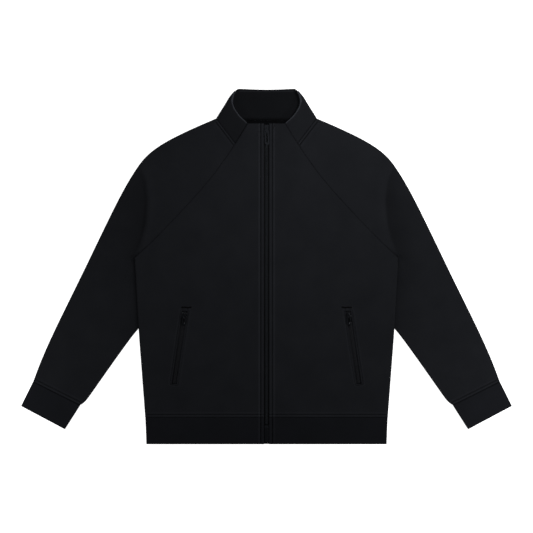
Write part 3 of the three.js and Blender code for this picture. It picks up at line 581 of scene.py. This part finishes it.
def shaped(node, name, levels, kind, side=1, rim=(0.5, 1.4)):
    """Cloth made from a CAD solid: finer, with folds, pulled seams and rolled edges."""
    piece = copied_form(node, name, levels)
    for _ in range(2 if kind in FINE_LINES and levels > 2 else 0):
        refine(piece, FINE_LINES[kind], 11.0, side)
    points = points_of(piece)
    x, y, z = side * points[:, 0] / MM, points[:, 1] / MM, points[:, 2] / MM
    if kind in ("back", "collar", "hem"):
        x = np.abs(x)
    fine = fine_relief(x, y, kind) * upper_share(z)
    broad = broad_relief(x, y, side) * upper_share(z) if kind != "back" else back_relief(x, y)
    points[:, 2] += (fine + broad) * MM
    if kind == "collar":
        # the rim sags a little between its rounded corners
        rise = 2.2 - 1.3 * np.maximum(1 - (x / 60) ** 2, 0)
        corner = np.clip(x - 60, 0, 9) ** 2 / 20
        points[:, 1] += (rise * smooth_step(y, 350, 386) - corner * smooth_step(y, 368, 388)) * MM
    set_points(piece, points)
    rims, normals = soften_rims(piece, *rim)
    give_painted_light(piece, painted_light_of(points / MM, fine, rims, normals, kind))
    return piece


def back_relief(x, y):
    """Shallow hollows on the hidden side and the pull of the hem's stitches."""
    hollows = np.maximum(loose_folds(x, y, 1), 0) * 0.5 * (1 - smooth_step(x, 200, 235))
    return hollows + 0.5 * bell(y, HEM_STITCH_Y, 1.6)


# ------------------------------------------------------------------ paths on the cloth

def surface_of(pieces):
    """Search tree over the faces of several finished pieces."""
    points, faces = [], []
    for piece in pieces:
        start = len(points)
        points += [v.co.copy() for v in piece.data.vertices]
        faces += [[start + i for i in p.vertices] for p in piece.data.polygons]
    return BVHTree.FromPolygons(points, faces)


def evenly_along(path, pitch):
    """Places and directions every pitch along a polyline, in millimetres."""
    spots = []
    carried = pitch / 2
    for (ax, ay), (bx, by) in zip(path, path[1:]):
        length = math.hypot(bx - ax, by - ay)
        while carried <= length:
            share = carried / length
            spots.append((ax + share * (bx - ax), ay + share * (by - ay), math.atan2(by - ay, bx - ax)))
            carried += pitch
        carried -= length
    return spots


def rounded_bar(length, width, height):
    """Base shape of a stitch or a zip element: a bar with pointed ends, 12 corners."""
    corners = []
    for x, size in ((-0.5, 0.45), (-0.28, 1.0), (0.28, 1.0), (0.5, 0.45)):
        for y, z in ((-0.5, 0.0), (0.0, 0.5), (0.5, 0.0), (0.0, -0.5)):
            corners.append((x * length, y * width * size, z * height * size))
    faces = [(3, 2, 1, 0), (12, 13, 14, 15)]
    for ring in range(3):
        for corner in range(4):
            after = (corner + 1) % 4
            faces.append((4 * ring + corner, 4 * ring + after, 4 * ring + 4 + after, 4 * ring + 4 + corner))
    return corners, faces


def scattered(name, base, places, material, body):
    """One mesh of many copies of a small shape, each given by its place, turn and normal."""
    corners, base_faces = base
    base_points = np.array(corners) * MM
    points, faces = [], []
    for place, heading, normal in places:
        up = Vector(normal).normalized()
        ahead = Vector((math.cos(heading), math.sin(heading), 0))
        ahead = (ahead - up * ahead.dot(up)).normalized()
        frame_axes = np.array([ahead[:], up.cross(ahead)[:], up[:]])
        start = len(points)
        points.extend((base_points @ frame_axes + np.array(place[:])).tolist())
        faces.extend([start + i for i in face] for face in base_faces)
    return finish_piece(added_piece(name, points, faces), material, body)


STITCH = rounded_bar(2.9, 0.62, 0.5)
STITCH_PITCH = 3.4


def stitch_places(surface, path, from_above=True, pitch=STITCH_PITCH):
    places = []
    for x, y, heading in evenly_along(path, pitch):
        start = Vector((x * MM, y * MM, 0.1 if from_above else -0.1))
        hit, normal, _, _ = surface.ray_cast(start, Vector((0, 0, -1 if from_above else 1)))
        if hit:
            outward = normal if normal.z * (1 if from_above else -1) > 0 else -normal
            places.append((hit + outward * (0.06 if from_above else -0.28) * MM, heading, outward))
    return places


def offset_path(path, distance):
    """A polyline moved sideways, to the left of its direction."""
    moved = []
    for number, (x, y) in enumerate(path):
        ax, ay = path[max(number - 1, 0)]
        bx, by = path[min(number + 1, len(path) - 1)]
        length = math.hypot(bx - ax, by - ay)
        moved.append((x - (by - ay) / length * distance, y + (bx - ax) / length * distance))
    return moved


def mirrored(path, side):
    return [(side * x, y) for x, y in path]


# ------------------------------------------------------------------ the jacket's cloth

LEVELS = 3


def make_cloth():
    cloth = {}
    cloth["back"] = shaped("back_panel", "back_knit", LEVELS, "back")
    finish_piece(cloth["back"], BODY_KNIT, JACKET, ["back_panel"])
    for word, side, sleeve_knit in (("left", 1, LEFT_KNIT), ("right", -1, RIGHT_KNIT)):
        front = shaped(f"front_{word}", f"front_{word}_knit", LEVELS, "front", side)
        finish_piece(front, BODY_KNIT, JACKET, [f"front_{word}"])
        sleeve = shaped(f"sleeve_{word}", f"sleeve_{word}_knit", LEVELS, "sleeve", side)
        finish_piece(sleeve, sleeve_knit, JACKET, [f"sleeve_{word}"])
        cuff = shaped(f"cuff_{word}", f"cuff_{word}_knit", LEVELS, "cuff", side, (0.6, 1.5))
        finish_piece(cuff, BAND_KNIT, JACKET, [f"cuff_{word}"])
        cloth[f"front_{word}"], cloth[f"sleeve_{word}"], cloth[f"cuff_{word}"] = front, sleeve, cuff
    cloth["collar"] = shaped("collar", "collar_knit", LEVELS, "collar", rim=(0.8, 1.7))
    finish_piece(cloth["collar"], BODY_KNIT, JACKET, ["collar"])
    cloth["hem"] = shaped("hem_band", "hem_band_knit", LEVELS, "hem", rim=(0.6, 1.5))
    finish_piece(cloth["hem"], BAND_KNIT, JACKET, ["hem_band"])
    return cloth


def seam_line(node, side):
    """The front's raglan edge from the armpit to the neck, read off the solid's own corners."""
    rows = {}
    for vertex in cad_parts[node].data.vertices:
        x, y = side * vertex.co.x / MM, round(vertex.co.y / MM, 1)
        rows[y] = max(x, rows.get(y, 0.0))
    return [(side * (rows[y] + 0.15), y) for y in sorted(rows) if y > 19.0]


SEAM_REACH = 2.4              # how far beside a seam the cloth's height is taken
WALL_HALF = 0.45              # half the width of the turned edges in a seam
WALL_DROP = 1.0               # their top below the cloth
WALL_DEPTH = 2.6


def turned_edge(name, path, surface):
    """The turned-in edges of two pieces where they meet: a narrow wall down in the seam."""
    heights = []
    for number in range(len(path)):
        beside = []
        for distance in (-SEAM_REACH, SEAM_REACH):
            px, py = offset_path(path, distance)[number]
            hit = surface.ray_cast(Vector((px * MM, py * MM, 0.1)), Vector((0, 0, -1)))[0]
            if hit:
                beside.append(hit.z / MM)
        heights.append(min(beside) - WALL_DROP if beside else None)
    known = [h for h in heights if h is not None]
    heights = [h if h is not None else known[0] for h in heights]
    points, faces = [], []
    for left, right, height in zip(offset_path(path, WALL_HALF), offset_path(path, -WALL_HALF), heights):
        low = max(height - WALL_DEPTH, 0.2)
        for px, py in (left, right):
            points += [(px * MM, py * MM, max(height, low + 0.4) * MM), (px * MM, py * MM, low * MM)]
    for section in range(len(path) - 1):
        a, b = 4 * section, 4 * section + 4
        faces += [
            (a, b, b + 2, a + 2), (a + 1, a + 3, b + 3, b + 1),
            (a, a + 1, b + 1, b), (a + 2, b + 2, b + 3, a + 3),
        ]
    last = 4 * (len(path) - 1)
    faces += [(0, 2, 3, 1), (last, last + 1, last + 3, last + 2)]
    piece = added_piece(name, points, faces)
    # painted shade: the walls down in the seams are darkened
    give_painted_light(piece, [0.3] * len(points))
    make_active(piece)
    bpy.ops.object.mode_set(mode="EDIT")
    bpy.ops.mesh.select_all(action="SELECT")
    bpy.ops.mesh.normals_make_consistent(inside=False)
    bpy.ops.object.mode_set(mode="OBJECT")
    finish_piece(piece, BODY_KNIT, JACKET)


def evenly(start, end, count):
    """Points at equal steps from start to end."""
    return [
        (start[0] + (end[0] - start[0]) * n / (count - 1), start[1] + (end[1] - start[1]) * n / (count - 1))
        for n in range(count)
    ]


def make_turned_edges(cloth):
    """Walls in the seams: hem, cuffs, raglan seams, neck seams and the back of the neck."""
    surface = surface_of(cloth.values())
    for word, side in (("left", 1), ("right", -1)):
        seams = {
            "hem": mirrored(evenly((6.0, HEM_SEAM_Y), (264.0, HEM_SEAM_Y), 30), side),
            "cuff": mirrored(evenly((410.2, -304.0), (511.5, -253.4), 16), side),
            "raglan": seam_line(f"front_{word}", side),
            "neck": mirrored(evenly((68.6, 270.2), (109.6, 323.9), 10), side),
        }
        for seam, path in seams.items():
            turned_edge(f"{seam}_seam_{word}", path, surface)
    turned_edge("back_neck_seam", evenly((-62.0, 321.2), (62.0, 321.2), 12), surface)


# ------------------------------------------------------------------ stitching

def make_stitching(cloth):
    """Rows of topstitching on both faces, and the hand stitches beside the zip's top."""
    top = surface_of(cloth.values())
    rows, under_rows = [], []
    for side in (1, -1):
        rows.append([(side * PLACKET_STITCH, y) for y in (FRONT_TOP_Y - 4, 0, -386)])
        rows.append([(side * x, HEM_STITCH_Y) for x in (17, 262)])
        under_rows.append([(side * x, HEM_STITCH_Y) for x in (2, 262)])
        above = offset_path(mirrored(CUFF_SEAM, side), CUFF_ROW * side)
        rows.append(above)
        under_rows.append(above)
        rows.append(offset_path(mirrored(NECK_SEAM, side), -NECK_ROW * side))
    places = [p for row in rows for p in stitch_places(top, row)]
    scattered("topstitching", STITCH, places, THREAD, JACKET)
    below = [p for row in under_rows for p in stitch_places(top, row, from_above=False)]
    scattered("topstitching_under", STITCH, below, THREAD, JACKET)
    # Hand stitches that hold the tape's upper ends down beside the slider.
    marks = [[(-18, 295.2), (-11.5, 294.6)], [(18.2, 311), (15.2, 302.5)], [(-15, 309), (-14, 303)]]
    ends = [p for row in marks for p in stitch_places(top, row, pitch=1.2)]
    scattered("tape_end_stitches", rounded_bar(1.9, 0.7, 0.6), ends, TACK_THREAD, JACKET)


def make_pocket_stitching(cloth):
    """A row round each pocket's slit and a bar tack above it."""
    top = surface_of(cloth.values())
    around, tacks = [], []
    for side in (1, -1):
        around += stitch_places(top, pocket_outline(side), pitch=3.0)
        tacks += bar_tack_places(top, mirrored(BAR_TACK, side))
    scattered("pocket_stitching", rounded_bar(2.6, 0.6, 0.5), around, POCKET_THREAD, JACKET)
    scattered("bar_tacks", rounded_bar(3.8, 0.8, 0.9), tacks, TACK_THREAD, JACKET)


def bar_tack_places(surface, row):
    """Close zigzag of thread that stops the slit from tearing."""
    places = stitch_places(surface, row, pitch=0.55)
    return [
        (place, heading + math.radians(68 if number % 2 else 112), normal)
        for number, (place, heading, normal) in enumerate(places)
    ]


def pocket_outline(side):
    """Row of stitches down both sides of the slit and round its lower end."""
    (tx, ty), (bx, by) = POCKET_TOP, POCKET_BOTTOM
    length = math.hypot(bx - tx, by - ty)
    ux, uy = (bx - tx) / length, (by - ty) / length
    beside, start, end, corner = 9.0, 1.0, length + 4.5, 3.0
    local = [
        (-beside, start), (-beside, end - corner), (-beside + corner, end),
        (beside - corner, end), (beside, end - corner), (beside, start),
    ]
    return [(side * (tx + ux * down - uy * across), ty + uy * down + ux * across) for across, down in local]


# ------------------------------------------------------------------ zips

TOOTH = rounded_bar(3.3, 0.95, 1.3)
TOOTH_PITCH = 1.6
POCKET_TOOTH = rounded_bar(2.8, 0.9, 1.1)
POCKET_TOOTH_PITCH = 1.5
CORE_DROP = 0.35              # the core lies this far down under the elements
TAPE_TOP_Z = 5.2              # a pocket zip is tape below this height and chain above it


def chain_places(surface, path, reach, pitch=TOOTH_PITCH):
    """Two rows of elements that mesh in the middle, half a pitch apart."""
    places = []
    for row_side in (1, -1):
        shifted = offset_path(path, row_side * reach)
        for number, (x, y, heading) in enumerate(evenly_along(shifted, pitch)):
            nudge = row_side * pitch / 4
            x += math.cos(heading) * nudge
            y += math.sin(heading) * nudge
            hit, _, _, _ = surface.ray_cast(Vector((x * MM, y * MM, 0.1)), Vector((0, 0, -1)))
            if hit:
                places.append((hit - Vector((0, 0, 0.25 * MM)), heading + math.pi / 2, (0, 0, 1)))
    return places


def lowered_copy(node, name):
    """Copy of a zip's solid whose raised chain is a low cord under the elements."""
    piece = copied_form(node, name, 0)
    points = points_of(piece)
    raised = points[:, 2] > TAPE_TOP_Z * MM
    points[raised, 2] -= CORE_DROP * MM
    set_points(piece, points)
    apply_modifier(piece, "BEVEL", width=0.15 * MM, segments=2, limit_method="ANGLE")
    return piece


def make_zips():
    """Woven tapes, the cores of the chains and the coils' elements over them."""
    for word in ("left", "right"):
        tape = copied_form(f"zip_tape_{word}", f"zip_tape_{word}_woven", 2)
        soften_rims(tape, 0.15, 0.5)
        finish_piece(tape, TAPE, JACKET, [f"zip_tape_{word}"])
    chain_surface = surface_of([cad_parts["zip_chain"]])
    core = copied_form("zip_chain", "zip_chain_core", 1)
    points = points_of(core)
    points[:, 2] -= CORE_DROP * MM
    points[:, 0] *= 0.93
    set_points(core, points)
    finish_piece(core, TAPE, JACKET, ["zip_chain"])
    line = [(0.0, 305.0), (0.0, -347.0)]
    places = chain_places(chain_surface, line, 1.35)
    scattered("zip_elements", TOOTH, places, COIL, JACKET)
    for word, side in (("left", 1), ("right", -1)):
        node = f"pocket_zip_{word}"
        surface = surface_of([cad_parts[node]])
        tape = lowered_copy(node, f"pocket_zip_{word}_woven")
        finish_piece(tape, POCKET_TAPE, JACKET, [node])
        path = mirrored((POCKET_TOP, POCKET_BOTTOM), side)
        (ax, ay), (bx, by) = path
        inside = [(ax + (bx - ax) * t, ay + (by - ay) * t) for t in (0.012, 0.988)]
        places = chain_places(surface, inside, 1.2, POCKET_TOOTH_PITCH)
        scattered(f"pocket_elements_{word}", POCKET_TOOTH, places, POCKET_COIL, JACKET)


def make_hardware():
    """Sliders, pull tabs and the zip's box: the solids with their cast edges rounded."""
    castings = {
        "zip_slider": (JACKET, METAL), "zip_box": (JACKET, METAL), "zip_pull": ("centre_pull", PULL_METAL),
        "pocket_slider_left": (JACKET, POCKET_METAL), "pocket_slider_right": (JACKET, POCKET_METAL),
        "pocket_pull_left": ("left_pocket_pull", POCKET_METAL),
        "pocket_pull_right": ("right_pocket_pull", POCKET_METAL),
    }
    for node, (body, metal) in castings.items():
        piece = copied_form(node, f"{node}_cast", 0)
        # smaller faces, so that the paler edges, worn paint and a painted highlight, stay on the edges
        make_active(piece)
        bpy.ops.object.mode_set(mode="EDIT")
        bpy.ops.mesh.select_all(action="SELECT")
        bpy.ops.mesh.subdivide(number_cuts=5 if node == "zip_box" else 3)
        bpy.ops.object.mode_set(mode="OBJECT")
        apply_modifier(
            piece, "BEVEL", width=0.28 * MM, segments=3, limit_method="ANGLE", angle_limit=math.radians(35),
        )
        finish_piece(piece, metal, body, [node])
        make_active(piece)
        bpy.ops.object.shade_smooth_by_angle(angle=math.radians(40))


# ------------------------------------------------------------------ surroundings

FLOOR_Z = -0.3                # the board lies clear of the cloth, under its lowest stitches
VIEW_WIDTH = 1.17084          # metres across the view, at the height of the cloth's middle
CLOTH_MIDDLE_Z = 4.0


def make_stage():
    """White board under the jacket, soft light and the camera straight above."""
    bpy.ops.object.select_all(action="DESELECT")
    bpy.ops.mesh.primitive_plane_add(size=30, location=(0, 0, FLOOR_Z * MM))
    floor = bpy.context.active_object
    floor.name = "floor"
    floor.data.materials.append(floor_material())

    world = bpy.data.worlds.new("studio")
    world.use_nodes = True
    background = world.node_tree.nodes["Background"]
    background.inputs["Color"].default_value = (1.0, 1.0, 1.0, 1.0)
    background.inputs["Strength"].default_value = 0.085
    bpy.context.scene.world = world
    bpy.context.scene.view_settings.view_transform = "Standard"

    # Soft lamps close above the garment, the strongest on its right. Their places and powers
    # began as a least-squares fit to the tones wanted on the cloth and were then set one by one.
    add_lamp("right_lamp", (0.80, -0.40, 0.50), 10.6)
    add_lamp("upper_right_lamp", (0.38, 0.42, 0.50), 6.4)
    add_lamp("left_lamp", (-0.80, -0.28, 0.50), 6.7)
    add_lamp("middle_lamp", (0.0, 0.25, 0.50), 3.1)

    lens = bpy.data.cameras.new("camera")
    lens.lens = 85
    lens.sensor_width = 36
    camera = bpy.data.objects.new("camera", lens)
    distance = VIEW_WIDTH / lens.sensor_width * lens.lens
    camera.location = (0, 0, distance + CLOTH_MIDDLE_Z * MM)
    bpy.context.scene.collection.objects.link(camera)
    bpy.context.scene.camera = camera


def add_lamp(name, place, power):
    lamp = bpy.data.lights.new(name, "POINT")
    lamp.shadow_soft_size = 0.09
    lamp.energy = power
    holder = bpy.data.objects.new(name, lamp)
    holder.location = place
    holder.visible_camera = False
    bpy.context.scene.collection.objects.link(holder)


make_stage()
jacket_cloth = make_cloth()
make_turned_edges(jacket_cloth)
make_zips()
make_hardware()
make_stitching(jacket_cloth)
make_pocket_stitching(jacket_cloth)
